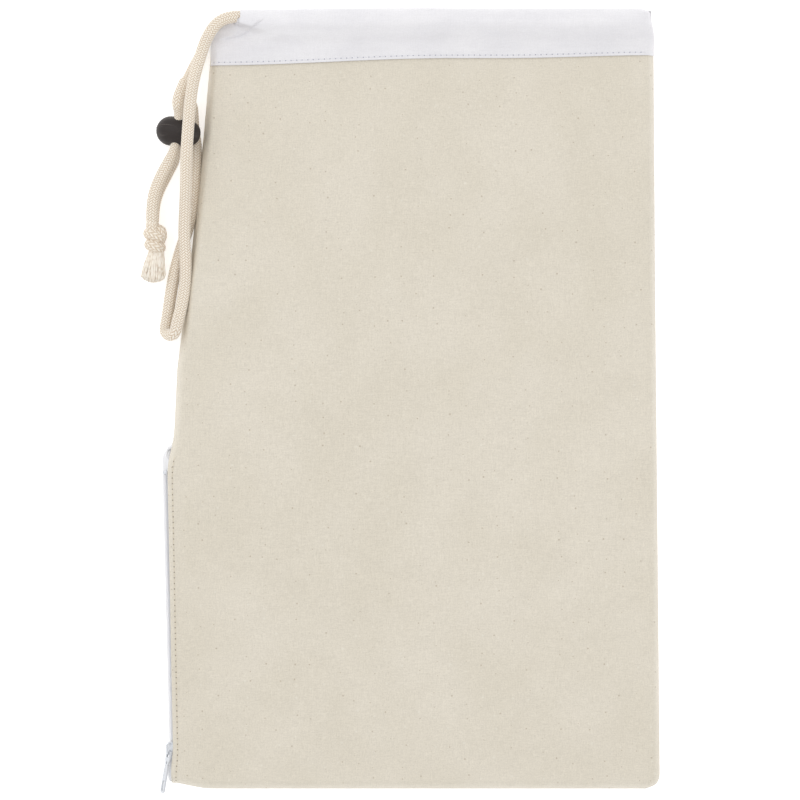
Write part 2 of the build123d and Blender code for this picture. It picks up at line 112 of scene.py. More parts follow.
def put(name, data):
    """An object in the scene that holds this data."""
    made = bpy.data.objects.new(name, data)
    bpy.context.scene.collection.objects.link(made)
    return made


# ---- Camera and light ----

VIEW_WIDTH = 461.6 * MM
VIEW_CENTRE = (-9.2 * MM, -0.9 * MM)
VIEW_PLANE_Z = 9 * MM
LENS, SENSOR = 260.0, 36.0


def make_camera():
    data = bpy.data.cameras.new("camera")
    data.lens, data.sensor_width = LENS, SENSOR
    data.clip_start, data.clip_end = 0.1, 20.0
    camera = put("camera", data)
    camera.location = (*VIEW_CENTRE, VIEW_PLANE_Z + VIEW_WIDTH * LENS / SENSOR)
    bpy.context.scene.camera = camera


def make_lights():
    world = bpy.data.worlds.new("studio")
    world.use_nodes = True
    background = world.node_tree.nodes["Background"]
    background.inputs["Color"].default_value = (1, 1, 1, 1)
    background.inputs["Strength"].default_value = 0.87
    bpy.context.scene.world = world
    bpy.context.scene.view_settings.view_transform = "Standard"
    for name, place, size, power in (
        ("key", (-0.75, 0.85, 1.5), 1.7, 7.5),
        ("fill", (1.0, -0.6, 1.5), 1.4, 3.0),
    ):
        data = bpy.data.lights.new(name, "AREA")
        data.size, data.energy = size, power
        light = put(name, data)
        light.location = place
        light.rotation_euler = (-Vector(place)).to_track_quat("-Z", "Y").to_euler()


# ---- Materials ----


class Paint:
    """A material with a Principled shader, and short ways to add nodes to it."""

    def __init__(self, name, roughness, **fixed):
        self.material = bpy.data.materials.new(name)
        self.material.use_nodes = True
        self.tree = self.material.node_tree
        self.shader = self.tree.nodes["Principled BSDF"]
        self.shader.inputs["Roughness"].default_value = roughness
        for socket, value in fixed.items():
            self.shader.inputs[socket.replace("_", " ")].default_value = value
        self.place = self.add("ShaderNodeTexCoord").outputs["Object"]

    def add(self, kind, inputs=(), **settings):
        node = self.tree.nodes.new(kind)
        for key, value in settings.items():
            setattr(node, key, value)
        for socket, value in dict(inputs).items():
            if isinstance(value, bpy.types.NodeSocket):
                self.tree.links.new(value, node.inputs[socket])
            else:
                node.inputs[socket].default_value = value
        return node

    def math(self, operation, first, second=0.0):
        return self.add("ShaderNodeMath", {0: first, 1: second}, operation=operation).outputs[0]

    def axis(self, number):
        """The place along one axis, in metres."""
        return self.add("ShaderNodeSeparateXYZ", {0: self.place}).outputs[number]

    def noise(self, scale, detail=2.0):
        """Noise whose grain is 1/scale metres along each axis."""
        vector = self.add("ShaderNodeMapping", {"Vector": self.place, "Scale": scale}).outputs[0]
        values = {"Vector": vector, "Scale": 1.0, "Detail": detail}
        return self.add("ShaderNodeTexNoise", values).outputs["Fac"]

    def between(self, value, low, high, to_low=0.0, to_high=1.0):
        return self.add("ShaderNodeMapRange", {"Value": value, "From Min": low, "From Max": high,
                                               "To Min": to_low, "To Max": to_high}).outputs[0]

    def mix(self, share, first, second, blend="MIX"):
        inputs = {0: share}
        for index, colour in ((6, first), (7, second)):
            inputs[index] = colour if isinstance(colour, bpy.types.NodeSocket) else (*colour, 1.0)
        return self.add("ShaderNodeMix", inputs, data_type="RGBA", blend_type=blend).outputs[2]

    def shaded(self, colour, shade):
        """A colour times a grey."""
        grey = self.add("ShaderNodeCombineColor", {0: shade, 1: shade, 2: shade}).outputs[0]
        return self.mix(1.0, colour, grey, "MULTIPLY")

    def specked(self, colour, tint, strength, cell, share, size, seed=0.0):
        """A colour with small round spots of a tint, one in some of the cells of a grid."""
        shift = self.add("ShaderNodeVectorMath", {0: self.place, 1: (seed, seed, 0)}, operation="ADD")
        spots = self.add("ShaderNodeTexVoronoi", {"Vector": shift.outputs[0], "Scale": 1 / cell},
                         voronoi_dimensions="2D")
        draw = self.add("ShaderNodeSeparateColor", {0: spots.outputs["Color"]})
        chosen = self.math("LESS_THAN", draw.outputs[0], share)
        radius = self.between(draw.outputs[1], 0, 1, 0.4 * size / cell, size / cell)
        inside = self.math("DIVIDE", spots.outputs["Distance"], radius)
        spot = self.math("MULTIPLY", chosen, self.between(inside, 0.6, 1.0, 1.0, 0.0))
        return self.mix(self.math("MULTIPLY", spot, strength), colour, tint)

    def finish(self, colour, rough=None, bump=None, height=0.0):
        self.tree.links.new(colour, self.shader.inputs["Base Color"])
        if rough is not None:
            self.tree.links.new(rough, self.shader.inputs["Roughness"])
        if bump is not None:
            node = self.add("ShaderNodeBump", {"Height": bump, "Distance": height})
            self.tree.links.new(node.outputs[0], self.shader.inputs["Normal"])
        return self.material


def woven(paint, thread, run, contrast):
    """(colour variation, height) of a plain weave with uneven threads both ways."""
    warp = paint.noise((1 / thread, 1 / run, 1 / run))
    weft = paint.noise((1 / run, 1 / thread, 1 / run))
    crossing = [
        paint.math("SINE", paint.math("MULTIPLY", paint.axis(k), math.pi / thread)) for k in (0, 1)
    ]
    over = paint.between(paint.math("MULTIPLY", *crossing), -1, 1)
    threads = paint.math("ADD", warp, weft)
    grain = paint.between(paint.noise((1300, 1300, 1300)), 0.3, 0.7, 1 - contrast, 1 + contrast)
    height = paint.math("ADD", threads, paint.math("MULTIPLY", over, 0.8))
    shade = paint.between(threads, 0.7, 1.3, 1 - contrast, 1 + contrast)
    return paint.math("MULTIPLY", shade, grain), height


def canvas_material():
    """Unbleached canvas with brown seed flecks, grey flecks and paler slubs."""
    paint = Paint("canvas", 0.9, Sheen_Weight=0.15, Sheen_Roughness=0.6)
    shade, height = woven(paint, 0.42 * MM, 4.5 * MM, 0.056)
    broad = paint.between(paint.noise((26, 22, 26), 3.0), 0.35, 0.65)
    ground = paint.mix(broad, (0.68, 0.628, 0.528), (0.71, 0.658, 0.562))
    cloth = paint.shaded(ground, shade)
    cloth = paint.specked(cloth, (0.30, 0.22, 0.13), 0.45, 9 * MM, 0.42, 0.62 * MM)
    cloth = paint.specked(cloth, (0.45, 0.40, 0.30), 0.17, 3.2 * MM, 0.35, 0.55 * MM, 3.7)
    cloth = paint.specked(cloth, (0.80, 0.77, 0.68), 0.35, 9 * MM, 0.35, 0.9 * MM, 8.1)
    rough = paint.between(shade, 0.9, 1.1, 0.95, 0.8)
    return paint.finish(cloth, rough, height, 0.09 * MM)


def band_material():
    """Fine white cotton, with a painted highlight near the top, where it is folded in two."""
    paint = Paint("bleached_cotton", 0.85, Sheen_Weight=0.1)
    shade, height = woven(paint, 0.28 * MM, 6 * MM, 0.025)
    broad = paint.between(paint.noise((40, 90, 40), 3.0), 0.35, 0.65)
    ground = paint.mix(broad, (0.75, 0.74, 0.765), (0.795, 0.785, 0.805))
    # Painted highlight: the band is made up to 5.5% lighter near its top, where the light catches it over
    # the cord.
    painted_top_highlight = paint.between(paint.axis(1), LAP_Y + 18.5 * MM, LAP_Y + 22 * MM, 1.0, 1.055)
    shade = paint.math("MULTIPLY", shade, painted_top_highlight)
    rough = paint.between(shade, 0.95, 1.1, 0.9, 0.75)
    return paint.finish(paint.shaded(ground, shade), rough, height, 0.05 * MM)


def tape_material():
    paint = Paint("zip_tape_twill", 0.8)
    slant = paint.math("ADD", paint.math("PINGPONG", paint.axis(0), 1.5 * MM), paint.axis(1))
    rib = paint.math("SINE", paint.math("MULTIPLY", slant, 2 * math.pi / (0.55 * MM)))
    grain = paint.noise((2500, 2500, 2500))
    height = paint.math("ADD", rib, grain)
    shade = paint.between(height, -1, 2)
    colour = paint.mix(shade, (0.84, 0.84, 0.86), (0.93, 0.93, 0.94))
    return paint.finish(colour, paint.between(grain, 0.3, 0.7, 0.7, 0.9), height, 0.06 * MM)


def thread_material(name, dark, light):
    paint = Paint(name, 0.6, Sheen_Weight=0.2)
    ply = paint.noise((3500, 3500, 3500))
    shade = paint.between(ply, 0.35, 0.65)
    return paint.finish(paint.mix(shade, dark, light), paint.between(ply, 0.3, 0.7, 0.5, 0.75),
                        ply, 0.05 * MM)


def cord_material():
    """Cotton braid: cream on the strands' crowns, with warm, darker painted shade in the gaps between them.
    """
    paint = Paint("cotton_braid", 0.85, Sheen_Weight=0.2, Sheen_Roughness=0.5)
    relief = paint.add("ShaderNodeAttribute", attribute_name="relief").outputs["Fac"]
    fibre = paint.noise((5200, 2600, 5200))
    broad = paint.between(paint.noise((120, 60, 120)), 0.4, 0.65)
    crown = paint.mix(broad, (0.93, 0.872, 0.775), (0.90, 0.85, 0.765))
    # Painted shade: where the stored height is low, in the braid's gaps, the colour runs to a warm dark
    # brown.
    depth = paint.between(relief, 0.15, 0.68)
    colour = paint.mix(depth, (0.50, 0.35, 0.205), crown)
    colour = paint.mix(paint.between(fibre, 0.3, 0.7, 0.0, 0.13), colour, (0.72, 0.63, 0.51))
    colour = paint.specked(colour, (0.28, 0.20, 0.11), 0.6, 6 * MM, 0.3, 0.35 * MM)
    return paint.finish(colour, paint.between(fibre, 0.3, 0.7, 0.75, 0.95), fibre, 0.09 * MM)


def plastic_material(name, wear_and_sheen_from, wear_and_sheen_colour):
    """Black plastic with dust and lighter patches: worn ones on the lock, and on its mould line a painted
    highlight. The lower the patches' threshold, the more of them.
    """
    paint = Paint(name, 0.5, Specular_IOR_Level=0.28)
    grain = paint.noise((2600, 2600, 2600), 3.0)
    # Lighter patches: real wear on the lock's body, and a painted highlight on the mould line.
    wear_and_sheen = paint.between(paint.noise((160, 420, 160), 4.0), wear_and_sheen_from, wear_and_sheen_from + 0.2)
    colour = paint.mix(wear_and_sheen, (0.030, 0.0235, 0.0215), wear_and_sheen_colour)
    colour = paint.specked(colour, (0.16, 0.14, 0.12), 0.4, 3.2 * MM, 0.3, 0.16 * MM)
    return paint.finish(colour, paint.between(grain, 0.3, 0.7, 0.42, 0.62), grain, 0.04 * MM)


def metal_material():
    paint = Paint("grey_lacquered_zinc", 0.35, Coat_Weight=0.4, Coat_Roughness=0.2, Metallic=0.25)
    grain = paint.noise((900, 900, 900), 4.0)
    scuff = paint.between(paint.noise((300, 2200, 300), 3.0), 0.58, 0.72)
    colour = paint.mix(grain, (0.56, 0.58, 0.62), (0.70, 0.72, 0.75))
    colour = paint.mix(paint.math("MULTIPLY", scuff, 0.5), colour, (0.38, 0.38, 0.39))
    return paint.finish(colour, paint.between(scuff, 0, 1, 0.28, 0.5), grain, 0.02 * MM)


def grained(name, roughness, scale, dark, light, bump, **fixed):
    """A material whose colour, roughness and small bumps follow one fine grain."""
    paint = Paint(name, 0.5, **fixed)
    grain = paint.noise(scale)
    rough = paint.between(grain, 0.3, 0.7, *roughness)
    return paint.finish(paint.mix(grain, dark, light), rough, grain, bump)


def nylon_material():
    return grained("white_nylon", (0.32, 0.5), (1500, 1500, 1500), (0.82, 0.82, 0.85),
                   (0.90, 0.90, 0.92), 0.02 * MM, Subsurface_Weight=0.1)


def steel_material():
    return grained("spring_steel", (0.2, 0.4), (4000, 400, 4000), (0.5, 0.5, 0.5),
                   (0.66, 0.66, 0.66), 0.01 * MM, Metallic=1.0)


def hole_material(name, dark, light):
    # Painted shade: the holes' dark colour stands for the shade inside them.
    paint = Paint(name, 0.95)
    grain = paint.noise((3000, 3000, 3000))
    return paint.finish(paint.mix(grain, dark, light), None, grain, 0.03 * MM)


def floor_material():
    paint = Paint("floor", 0.9)
    cloudy = paint.noise((2, 2, 2))
    paint.shader.inputs["Emission Color"].default_value = (1, 1, 1, 1)
    paint.shader.inputs["Emission Strength"].default_value = 0.4
    return paint.finish(paint.mix(cloudy, (0.91, 0.91, 0.91), (0.93, 0.93, 0.93)))


# ---- Mesh helpers ----


def make_object(name, vertices, faces, material):
    mesh = bpy.data.meshes.new(name)
    mesh.from_pydata([tuple(v) for v in vertices], [], [tuple(f) for f in faces])
    mesh.polygons.foreach_set("use_smooth", [True] * len(mesh.polygons))
    mesh.materials.append(material)
    mesh.update()
    return put(name, mesh)


def grid_faces(rows, columns, closed=False):
    """Quads over a grid of points; a closed grid joins its last column to its first."""
    index = np.arange(rows * columns).reshape(rows, columns)
    right = np.roll(index, -1, axis=1)
    last = columns if closed else columns - 1
    quads = np.stack([index[:-1], right[:-1], right[1:], index[1:]], axis=-1)[:, :last]
    return quads.reshape(-1, 4)


def make_grid(name, points, material):
    """A sheet over points in rows and columns."""
    return make_object(name, points.reshape(-1, 3), grid_faces(*points.shape[:2]), material)


def distances(line):
    """How far along a line each of its points is."""
    steps = np.linalg.norm(np.diff(line, axis=0), axis=1)
    return np.concatenate([[0], np.cumsum(steps)])


def sampled(line, at):
    """The line's points at distances along it."""
    along = distances(line)
    return np.stack([np.interp(at, along, column) for column in line.T], axis=-1)


def give_relief(piece, values):
    """Stores the height, 0 to 1, that the cord's colour follows: low points, the braid's gaps, get painted
    shade.
    """
    attribute = piece.data.attributes.new("relief", "FLOAT", "POINT")
    attribute.data.foreach_set("value", values.astype(np.float32))


def give(piece, replaced=(), body="root"):
    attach(piece, body)
    if replaced:
        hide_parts(*replaced)
    return piece


def thicken(piece, thickness, offset):
    solid = piece.modifiers.new("thickness", "SOLIDIFY")
    solid.thickness = thickness
    solid.offset = offset


def sides_of(line):
    """Two unit vectors across a line at each of its points, carried along without twist."""
    along = np.gradient(line, axis=0)
    along /= np.linalg.norm(along, axis=1)[:, None]
    first = np.cross(along[0], (0.0, 0.0, 1.0) if abs(along[0][2]) < 0.9 else (1.0, 0.0, 0.0))
    normals = [first / np.linalg.norm(first)]
    for direction in along[1:]:
        carried = normals[-1] - direction * (normals[-1] @ direction)
        normals.append(carried / np.linalg.norm(carried))
    normals = np.array(normals)
    return normals, np.cross(along, normals)


def tube_mesh(name, lines, reaches, material, around):
    """One mesh of closed tubes. reaches holds each line's radii, for each point or each point and angle."""
    vertices, faces, base = [], [], 0
    angles = np.linspace(0, 2 * math.pi, around, endpoint=False)
    for line, reach in zip(lines, reaches):
        side, up = sides_of(line)
        ring = np.cos(angles)[None, :, None] * side[:, None] + np.sin(angles)[None, :, None] * up[:, None]
        vertices.append((line[:, None] + ring * reach.reshape(len(line), -1, 1)).reshape(-1, 3))
        faces += (grid_faces(len(line), around, closed=True) + base).tolist()
        end = base + (len(line) - 1) * around
        faces += [range(base + around - 1, base - 1, -1), range(end, end + around)]
        base += len(line) * around
    return make_object(name, np.concatenate(vertices), faces, material)


def tubes(name, lines, radius, material, around=6):
    """One mesh of many round tubes of one radius."""
    return tube_mesh(name, lines, [np.full(len(line), radius) for line in lines], material, around)


def nurbs_line(points, step):
    """Points about a step apart along the smooth NURBS line of these control points."""
    curve = bpy.data.curves.new("route", "CURVE")
    curve.dimensions = "3D"
    curve.resolution_u = 24
    spline = curve.splines.new("NURBS")
    spline.points.add(len(points) - 1)
    for point, place in zip(spline.points, points):
        point.co = (*place, 1.0)
    spline.order_u = 3
    spline.use_endpoint_u = True
    holder = bpy.data.objects.new("route", curve)
    mesh = bpy.data.meshes.new_from_object(holder)
    line = np.array([v.co for v in mesh.vertices], float)
    bpy.data.meshes.remove(mesh)
    bpy.data.curves.remove(curve)
    keep = np.concatenate([[True], np.linalg.norm(np.diff(line, axis=0), axis=1) > 1e-7])
    line = line[keep]
    length = distances(line)[-1]
    return sampled(line, np.linspace(0, length, max(2, round(length / step) + 1)))


# ---- Braided cord ----

STRANDS = 12
BRAID_PITCH = 1.6 * MM
BRAID_STEP = 0.3 * MM
AROUND = 72
VALLEY, RELIEF = 0.915, 0.105  # shares of the cord's radius: its gaps, and its strands above them


def braid_relief(turn, along):
    """Height from 0 to 1 of a two-over, two-under braid at a share of a turn and a distance along."""
    first = turn * STRANDS + along / BRAID_PITCH
    second = turn * STRANDS - along / BRAID_PITCH
    first_cell, second_cell = np.floor(first), np.floor(second)
    phase = np.mod(first_cell + second_cell, 4)
    over = phase < 2
    across = np.where(over, first - first_cell, second - second_cell)
    run = np.where(over, (phase + second - second_cell) / 2, (phase - 2 + first - first_cell) / 2)
    crown = 1 - (2 * across - 1) ** 2
    return np.clip(crown * (0.45 + 0.55 * np.sin(math.pi * np.clip(run, 0, 1))), 0, 1)


def braided(name, lines, radii, material, step=BRAID_STEP, around=AROUND, tight=0.0):
    """One mesh of braided tubes along lines; radii holds a radius for each point of each line.
    tight is how far, 0 to 1, the gaps between the strands have closed."""
    reaches, relief = [], []
    angles = np.linspace(0, 2 * math.pi, around, endpoint=False)
    for line, radius in zip(lines, radii):
        along = np.arange(len(line)) * step
        height = (1 - tight) * braid_relief(angles[None, :] / (2 * math.pi), along[:, None])
        reaches.append(radius[:, None] * (VALLEY + RELIEF * (tight + height)))
        relief.append((0.4 * tight + height).ravel())
    piece = tube_mesh(name, lines, reaches, material, around)
    give_relief(piece, np.concatenate(relief))
    return piece


# The stretches of the drawcord, as they lie: its two free ends, and its run inside both channels
SHORT_ROUTE = [
    (-0.0998, 0.2198, 0.0042), (-0.1090, 0.2198, 0.0042), (-0.1165, 0.2142, 0.0040),
    (-0.1215, 0.2050, 0.0042), (-0.1264, 0.1960, 0.0058), (-0.1307, 0.1872, 0.0102),
    (-0.1348, 0.1785, 0.0156), (-0.1374, 0.1705, 0.0182), (-0.13616, 0.16358, 0.01564),
    (-0.13895, 0.14378, 0.01564), (-0.1416, 0.1375, 0.0145), (-0.1466, 0.1290, 0.0124),
    (-0.1508, 0.1195, 0.0111), (-0.1523, 0.1095, 0.0108), (-0.1523, 0.0995, 0.0108),
]
LONG_ROUTE = [
    (-0.0998, 0.2198, 0.0170), (-0.1080, 0.2198, 0.0170), (-0.1154, 0.2156, 0.0176),
    (-0.1206, 0.2072, 0.0186), (-0.1242, 0.1962, 0.0202), (-0.1279, 0.1828, 0.0232),
    (-0.1298, 0.1690, 0.0262), (-0.1309, 0.1540, 0.0264), (-0.1320, 0.1385, 0.0256),
    (-0.1322, 0.1240, 0.0202), (-0.1330, 0.1085, 0.0150), (-0.1337, 0.0940, 0.0124),
    (-0.1327, 0.0790, 0.0106), (-0.1330, 0.0660, 0.0094), (-0.1348, 0.0545, 0.0102),
    (-0.1374, 0.0445, 0.0116), (-0.1390, 0.0364, 0.0124), (-0.1454, 0.0370, 0.0038),
    (-0.1434, 0.0480, 0.0037), (-0.1419, 0.0590, 0.0037), (-0.1399, 0.0705, 0.0037),
    (-0.1368, 0.0830, 0.0037), (-0.1326, 0.0955, 0.0038), (-0.1293, 0.1075, 0.0040),
    (-0.1280, 0.1200, 0.0040), (-0.1272, 0.1340, 0.0037), (-0.1272, 0.1480, 0.0036),
    (-0.1280, 0.1600, 0.0036), (-0.1286, 0.1710, 0.0037), (-0.1339, 0.1720, 0.0105),
    (-0.13505, 0.16343, 0.01036), (-0.13784, 0.14362, 0.01036), (-0.1398, 0.1370, 0.0070),
    (-0.1442, 0.1290, 0.0044), (-0.1492, 0.1195, 0.0038), (-0.1519, 0.1095, 0.0037),
    (-0.1519, 0.0995, 0.0037),
]
CHANNEL_ROUTE = [
    (-0.0998, 0.2198, 0.0170), (0.0130, 0.2198, 0.0170), (0.1260, 0.2198, 0.0170),
    (0.1260, 0.2198, 0.0042), (0.0130, 0.2198, 0.0042), (-0.0998, 0.2198, 0.0042),
]
LOCK_AT = Vector((-0.1370, 0.1536, 0.0130))
LOCK_TURN = Euler((0, math.radians(-12), math.radians(-8))).to_matrix()
LOCK_R = 8.5 * MM
LOCK_HOLE = 6 * MM  # a strand nearer than this to the lock's middle goes through it
HOLE_REACH, NECK_EASE = 9 * MM, 9 * MM


def cord_radius(line):
    """The cord's radius at each point: it is squeezed in the lock and in the bend beside it."""
    inside = np.hypot(line[:, 0] - LOCK_AT.x, line[:, 2] - LOCK_AT.z) < LOCK_HOLE
    away = np.where(inside, np.abs(line[:, 1] - LOCK_AT.y), 1.0)
    share = smooth(away, HOLE_REACH, HOLE_REACH + NECK_EASE)
    low_fold = (line[:, 2] < LOCK_AT.z) & (line[:, 0] > LOCK_AT.x + 3 * MM)
    pinched = np.where(low_fold, smooth(line[:, 1], LOCK_AT.y - 8 * MM, LOCK_AT.y + 2 * MM), 0.0)
    length = len(line) * BRAID_STEP
    ending = smooth(np.linspace(0, length, len(line)), length - 16 * BRAID_STEP, length)
    radius = NECK_R + (CORD_R - NECK_R) * share * (1 - pinched)
    return radius * (1 - 0.12 * ending)


def make_cords(material):
    made = []
    for name, route, node, length in (
        ("short_cord", SHORT_ROUTE, "drawcord_short_end", 0.144),
        ("long_cord", LONG_ROUTE, "drawcord_long_end", 0.427),
    ):
        line = nurbs_line(route, BRAID_STEP)
        piece = braided(name, [line], [cord_radius(line)], material)
        give(piece, [node])
        made.append((piece, route[0], length, line))
    step = 2 * BRAID_STEP
    line = nurbs_line(CHANNEL_ROUTE, step)
    radius = np.full(len(line), CORD_R - 0.15 * MM)
    run = braided("channel_cord", [line], [radius], material, step, around=48)
    give(run, ["drawcord_channel_run"])
    return made


def make_lock_seam(material):
    """The faint ridge where the lock's mould closed, over the barrel near its top."""
    off_top = math.radians(21)
    ball_x, taper, sunk = -4.35 * MM, 0.38, 0.03 * MM
    line = []
    for along in np.linspace(-12.6, 6.2, 40) * MM:
        # The barrel is a ball left of ball_x, and tapers more slowly to the right of it
        from_ball = along - ball_x
        tapered = from_ball if from_ball < 0 else from_ball * taper
        radius = math.sqrt(LOCK_R ** 2 - tapered ** 2) - sunk
        local = Vector((along, radius * math.sin(off_top), radius * math.cos(off_top)))
        line.append(LOCK_AT + LOCK_TURN @ local)
    ridge = tubes("lock_mould_line", [np.array(line)], 0.2 * MM, material, 8)
    return give(ridge, body="lock")


# ---- Knot and tails ----

KNOT_LOW, KNOT_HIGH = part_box("cord_knot")
TAIL_LOW, TAIL_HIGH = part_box("cord_tails")
YARNS, YARN_POINTS, YARN_AROUND = 150, 16, 7


def wrap_line(y, drop, turn_from, turn_to, reach_x, reach_z):
    """A turn of cord round the knot: drop is how far it falls from left to right over the front."""
    centre = (KNOT_LOW + KNOT_HIGH) / 2
    points = []
    for angle in np.radians(np.linspace(turn_from, turn_to, 13)):
        across = -math.cos(angle)
        points.append((centre.x + reach_x * across, y - drop * across / 2 * abs(math.sin(angle)) ** 0.4,
                       centre.z + reach_z * math.sin(angle)))
    return nurbs_line(points, BRAID_STEP)


def make_knot(material):
    """Two turns of braid round the ends, and a shoulder where one goes under."""
    half_x, half_z = (KNOT_HIGH.x - KNOT_LOW.x) / 2, (KNOT_HIGH.z - KNOT_LOW.z) / 2
    upper = wrap_line(KNOT_HIGH.y - 5.2 * MM, 3.6 * MM, -150, 225,
                      half_x - CORD_R * 0.8, half_z - CORD_R * 0.9)
    lower = wrap_line(KNOT_LOW.y + 3.9 * MM, 3.0 * MM, -140, 230,
                      half_x - CORD_R * 0.95, half_z - CORD_R * 0.95)
    shoulder = nurbs_line([
        (KNOT_HIGH.x - left * MM, KNOT_HIGH.y - down * MM, z * MM)
        for left, down, z in ((6.5, 2.0, 5.5), (4.0, 1.6, 8.6), (2.0, 3.4, 9.8), (2.3, 7.5, 8.4),
                              (4.5, 10.5, 6.0))
    ], BRAID_STEP)
    lines, radii = [upper, lower, shoulder], []
    for route in (SHORT_ROUTE, LONG_ROUTE):
        x, y, z = route[-1]
        lines.append(nurbs_line([
            (x, y + 3.5 * MM, z), (x, y, z), (x + 0.3 * MM, y - 3.5 * MM, z * 0.8 + 1.0 * MM),
            (x + 1.6 * MM, y - 9.0 * MM, 7.2 * MM), (x + 2.4 * MM, KNOT_LOW.y, 7.2 * MM),
        ], BRAID_STEP))
    for line, full in zip(lines, (3.5, 3.4, 2.9, 3.5, 3.5)):
        away = np.arange(len(line)) * BRAID_STEP
        radii.append(full * MM * (1 - 0.15 * (1 - smooth(away, 0, 4 * MM))))
    knot = braided("knot_turns", lines, radii, material, tight=0.45)
    return give(knot, ["cord_knot"])


def make_tails(material):
    """The two cut ends below the knot: their yarns open out into one soft, rounded brush."""
    draw = np.random.default_rng(7)
    top_x, end_x = -149.4 * MM, -151.7 * MM
    low_z, high_z = 1.0 * MM, TAIL_HIGH.z - 1.2 * MM
    lines = []
    for _ in range(YARNS):
        across, up = draw.uniform(-1, 1), draw.uniform(-1, 1)
        if across ** 2 + up ** 2 > 1:
            across, up = across * 0.7, up * 0.7
        start = Vector((top_x + 3.6 * MM * across, KNOT_LOW.y + 2.5 * MM, 7.0 * MM + 3.6 * MM * up))
        end_y = TAIL_LOW.y + 0.6 * MM + 3.4 * MM * across ** 2 + draw.uniform(0, 1.3) * MM
        end_z = (low_z + high_z) / 2 + (high_z - low_z) / 2 * up * 0.95
        end = Vector((end_x + 7.3 * MM * across, end_y, end_z))
        swing, beat, lean = draw.uniform(0.15, 0.6) * MM, draw.uniform(1.0, 2.4), draw.uniform(0, 6.28)
        line = []
        for share in np.linspace(0, 1, YARN_POINTS):
            point = start.lerp(end, share ** 0.8)
            point.y = start.y + (end.y - start.y) * share
            wave = swing * math.sin(share * beat * 2 * math.pi + lean) * share
            line.append((point.x + wave, point.y, max(low_z, point.z + wave * 0.6)))
        lines.append(np.array(line))
    thinning = (0.62 - 0.2 * np.linspace(0, 1, YARN_POINTS) ** 6) * MM
    brush = tube_mesh("tail_yarns", lines, [thinning] * YARNS, material, YARN_AROUND)
    shades = np.clip(draw.normal(0.62, 0.12, YARNS * YARN_POINTS), 0.2, 0.9)
    give_relief(brush, shades.repeat(YARN_AROUND))
    return give(brush, ["cord_tails"])


# ---- The bag's cloth ----

ZIP_START_Y, ZIP_FULL_Y = -19 * MM, -46 * MM
FOOT_BEND_X, FOOT_SLOPE, FOOT_EASE = -122.5 * MM, 0.105, 3 * MM
CANVAS_TOP_Y = LAP_Y + 4.5 * MM
ROWS, COLUMNS = 176, 120
CREASES = [  # start, end, depth and width of faint creases
    ((0.031, 0.028), (0.139, -0.024), 0.30 * MM, 1.3 * MM),
    ((0.062, 0.002), (0.118, -0.022), -0.20 * MM, 1.8 * MM),
    ((-0.033, -0.128), (0.060, -0.197), 0.24 * MM, 1.2 * MM),
    ((-0.012, -0.118), (0.035, -0.140), -0.16 * MM, 1.5 * MM),
    ((0.013, -0.052), (0.014, -0.064), 0.18 * MM, 0.9 * MM),
    ((-0.112, 0.1318), (-0.078, 0.1330), 0.24 * MM, 1.0 * MM),
    ((-0.084, 0.1330), (-0.050, 0.1200), 0.32 * MM, 1.2 * MM),
    ((0.070, 0.110), (0.082, 0.060), -0.15 * MM, 2.2 * MM),
]


def left_x(y):
    """X of the front's left edge: the side seam, and lower down the edge beside the zip."""
    seam = np.interp(np.maximum(y, ZIP_START_Y - 1 * MM), LEFT_Y, LEFT_X)
    zip_edge = chain_x(y) - 0.2 * MM + 0.8 * MM * smooth(y, ZIP_FOOT.y, ZIP_HEAD.y)
    zip_edge = zip_edge - 1.5 * MM * (1 - smooth(y, ZIP_FOOT.y - 12 * MM, ZIP_FOOT.y + 8 * MM))
    return zip_edge + (seam - zip_edge) * smooth(y, ZIP_FULL_Y, ZIP_START_Y)


def right_x(y):
    """X of the right edge, with its rounded corner at the foot."""
    edge = np.interp(y, RIGHT_Y, RIGHT_X)
    low = np.clip(CORNER_R - (y - FOOT_Y), 0, CORNER_R)
    return edge - (CORNER_R - np.sqrt(CORNER_R ** 2 - low ** 2))


def foot_y(x):
    """Y of the foot edge, which rises a little towards the zip."""
    past = FOOT_BEND_X - x
    return FOOT_Y + FOOT_SLOPE * (past + np.sqrt(past ** 2 + FOOT_EASE ** 2))


def rounded(distance, reach):
    """0 at an edge and 1 from reach inwards, along a quarter of an ellipse."""
    return np.sqrt(1 - (1 - np.clip(distance / reach, 0, 1)) ** 2)


def rise(distance):
    """How far the cloth has risen, 0 to 1, at a distance in from its seam."""
    slant = np.sin(math.pi / 2 * np.clip(distance / SLOPE, 0, 1))
    return 0.35 * slant + 0.65 * rounded(distance, SLOPE)


def canvas_z(x, y):
    """The front panel's top surface as it is cut and filled, before it sags."""
    top = FOOT_TOP_Z + (LAP_TOP_Z - FOOT_TOP_Z) * (y - FOOT_Y) / (LAP_Y - FOOT_Y)
    on_zip = 1 - smooth(y, ZIP_FULL_Y, ZIP_START_Y)
    from_left = x - left_x(y)
    left = rise(from_left) * (1 - on_zip) + (0.86 + 0.14 * rise(from_left * 1.6)) * on_zip
    share = left * rise(right_x(y) - x) * rise(y - foot_y(x))
    return SEAM_Z + (top - SEAM_Z) * share


def crease_height(x, y):
    height = np.zeros(np.broadcast(x, y).shape)
    for (x0, y0), (x1, y1), depth, width in CREASES:
        run = math.hypot(x1 - x0, y1 - y0)
        ux, uy = (x1 - x0) / run, (y1 - y0) / run
        along = (x - x0) * ux + (y - y0) * uy
        off = (x - x0) * uy - (y - y0) * ux + 1.2 * MM * np.sin(along / run * 7)
        ends = smooth(along, 0, run * 0.25) * (1 - smooth(along, run * 0.75, run))
        height += depth * ends * np.exp(-(off / width) ** 2)
    return height


